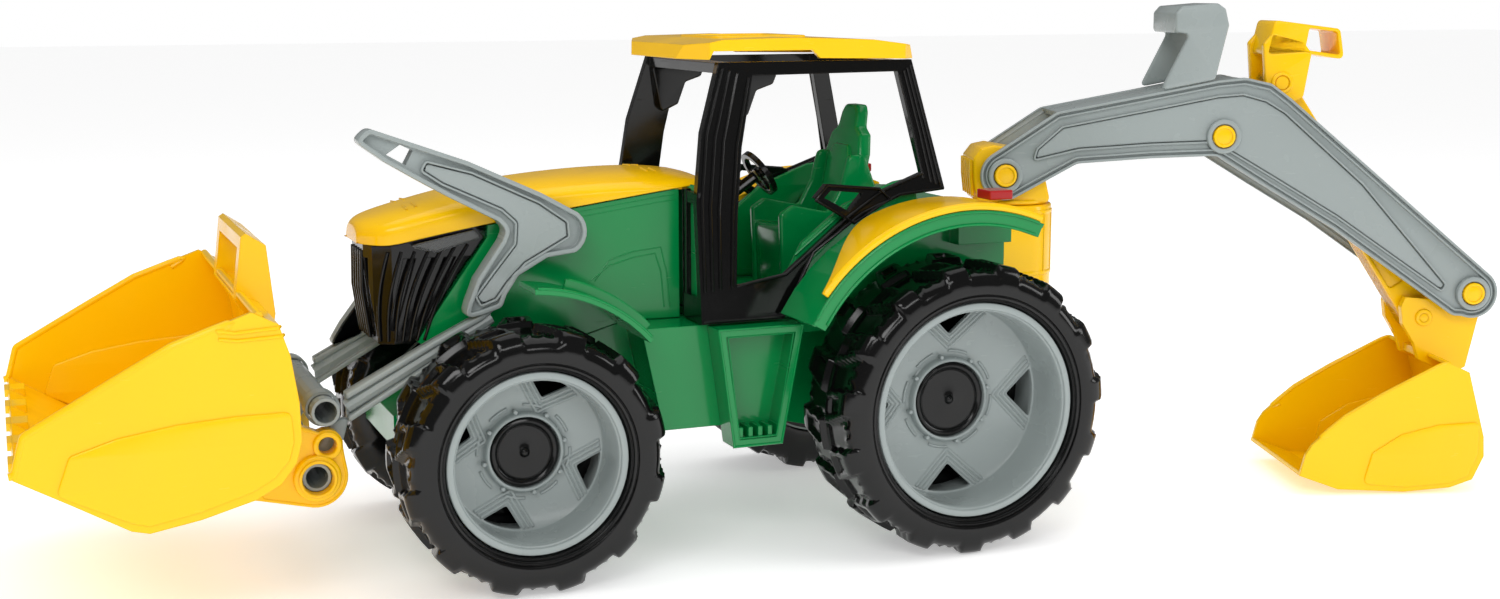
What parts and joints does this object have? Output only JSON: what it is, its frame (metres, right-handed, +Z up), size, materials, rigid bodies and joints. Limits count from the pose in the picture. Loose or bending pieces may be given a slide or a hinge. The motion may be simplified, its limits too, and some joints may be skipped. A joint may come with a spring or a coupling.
{
  "type": "toy backhoe loader",
  "caption": "Ride-along size toy tractor with a lever-lifted front loader bucket, an open cab, free-rolling wheels and a swinging rear digger arm with a lever-worked scoop.",
  "frame": {"origin": "on the ground, under the middle of the whole toy", "axes": "+X from the front bucket to the digger arm, +Y to the tractor's right side, +Z up"},
  "size_m": [1.0789, 0.3322, 0.369],
  "materials": {
    "yellow_plastic": "gloss",
    "green_plastic": "gloss",
    "silver_plastic": "satin",
    "black_plastic": "gloss",
    "tyre_plastic": "gloss",
    "axle_steel": "satin",
    "red_lens": "gloss",
    "clear_lens": "gloss"
  },
  "bodies": {
    "tractor": {"chassis": "green_plastic", "step_left": "green_plastic", "step_right": "green_plastic", "hood_body": "green_plastic", "loader_pivot_pin": "axle_steel", "hood": "yellow_plastic", "grille": "black_plastic", "headlight_left": "clear_lens", "headlight_right": "clear_lens", "mudguard_left": "green_plastic", "mudguard_right": "green_plastic", "rear_body": "green_plastic", "fender_left": "green_plastic", "fender_right": "green_plastic", "fender_trim_left": "yellow_plastic", "fender_trim_right": "yellow_plastic", "tail_light_left": "red_lens", "tail_light_right": "red_lens", "cab_floor": "green_plastic", "dashboard": "green_plastic", "seat": "green_plastic", "steering_column": "black_plastic", "cab_frame": "black_plastic", "roof": "yellow_plastic", "front_axle": "axle_steel", "rear_axle": "axle_steel", "digger_mount": "yellow_plastic"},
    "steering": {"steering_wheel": "black_plastic"},
    "rear_left_wheel": {"rear_left_rim": "silver_plastic", "rear_left_tyre": "tyre_plastic", "rear_left_hub_cap": "black_plastic"},
    "rear_right_wheel": {"rear_right_rim": "silver_plastic", "rear_right_tyre": "tyre_plastic", "rear_right_hub_cap": "black_plastic"},
    "front_left_wheel": {"front_left_rim": "silver_plastic", "front_left_tyre": "tyre_plastic", "front_left_hub_cap": "black_plastic"},
    "front_right_wheel": {"front_right_rim": "silver_plastic", "front_right_tyre": "tyre_plastic", "front_right_hub_cap": "black_plastic"},
    "loader": {"loader_arm_left": "silver_plastic", "loader_arm_right": "silver_plastic", "loader_cross_tube": "silver_plastic", "bucket_pivot_tube": "silver_plastic"},
    "bucket": {"bucket": "yellow_plastic"},
    "swing": {"kingpost": "yellow_plastic"},
    "boom": {"boom": "silver_plastic", "boom_handle": "silver_plastic", "boom_pin": "yellow_plastic", "elbow_pin": "yellow_plastic", "scoop_pin": "yellow_plastic"},
    "lever": {"lever": "yellow_plastic", "link_pin": "yellow_plastic"},
    "link": {"link": "yellow_plastic"},
    "scoop": {"scoop": "yellow_plastic", "scoop_link_pin": "yellow_plastic"}
  },
  "joints": [
    {"name": "rear_left_wheel_spin", "type": "hinge", "parent": "tractor", "child": "rear_left_wheel", "pos_m": [0.0636, 0.0034, 0.0994], "axis": [0, 1, 0], "continuous": true},
    {"name": "front_left_wheel_spin", "type": "hinge", "parent": "tractor", "child": "front_left_wheel", "pos_m": [-0.2324, 0.0034, 0.0858], "axis": [0, 1, 0], "continuous": true},
    {"name": "rear_right_wheel_spin", "type": "hinge", "parent": "tractor", "child": "rear_right_wheel", "pos_m": [0.0636, 0.0034, 0.0994], "axis": [0, 1, 0], "continuous": true},
    {"name": "front_right_wheel_spin", "type": "hinge", "parent": "tractor", "child": "front_right_wheel", "pos_m": [-0.2324, 0.0034, 0.0858], "axis": [0, 1, 0], "continuous": true},
    {"name": "steering_wheel_spin", "type": "hinge", "parent": "tractor", "child": "steering", "pos_m": [-0.0284, 0.0034, 0.249], "axis": [0.829, 0, 0.5593], "continuous": true},
    {"name": "loader_lift", "type": "hinge", "parent": "tractor", "child": "loader", "pos_m": [-0.1984, 0.0034, 0.221], "axis": [0, 1, 0], "range_deg": [-9, 45]},
    {"name": "bucket_tilt", "type": "hinge", "parent": "loader", "child": "bucket", "pos_m": [-0.3614, 0.0034, 0.078], "axis": [0, 1, 0], "range_deg": [-65, 12]},
    {"name": "digger_swing", "type": "hinge", "parent": "tractor", "child": "swing", "pos_m": [0.1796, 0.0034, 0.221], "axis": [0, 0, 1], "range_deg": [-41, 79]},
    {"name": "boom_lift", "type": "hinge", "parent": "swing", "child": "boom", "pos_m": [0.1692, 0.00698, 0.242], "axis": [-0.3256, -0.9455, 0], "range_deg": [-20, 45]},
    {"name": "lever_tilt", "type": "hinge", "parent": "boom", "child": "lever", "pos_m": [0.32426, -0.04641, 0.27], "axis": [-0.3256, -0.9455, 0], "range_deg": [-26, 6]},
    {"name": "link_turn", "type": "hinge", "parent": "lever", "child": "link", "pos_m": [0.36776, -0.06139, 0.309], "axis": [-0.3256, -0.9455, 0], "range_deg": [-7, 28.5]},
    {"name": "scoop_curl", "type": "hinge", "parent": "boom", "child": "scoop", "pos_m": [0.51148, -0.11087, 0.149], "axis": [-0.3256, -0.9455, 0], "range_deg": [-9, 38.5]}
  ],
  "couplings": [
    {"joint": "link_turn", "follows": "lever_tilt", "ratio": -1.08},
    {"joint": "scoop_curl", "follows": "lever_tilt", "ratio": -1.47}
  ]
}
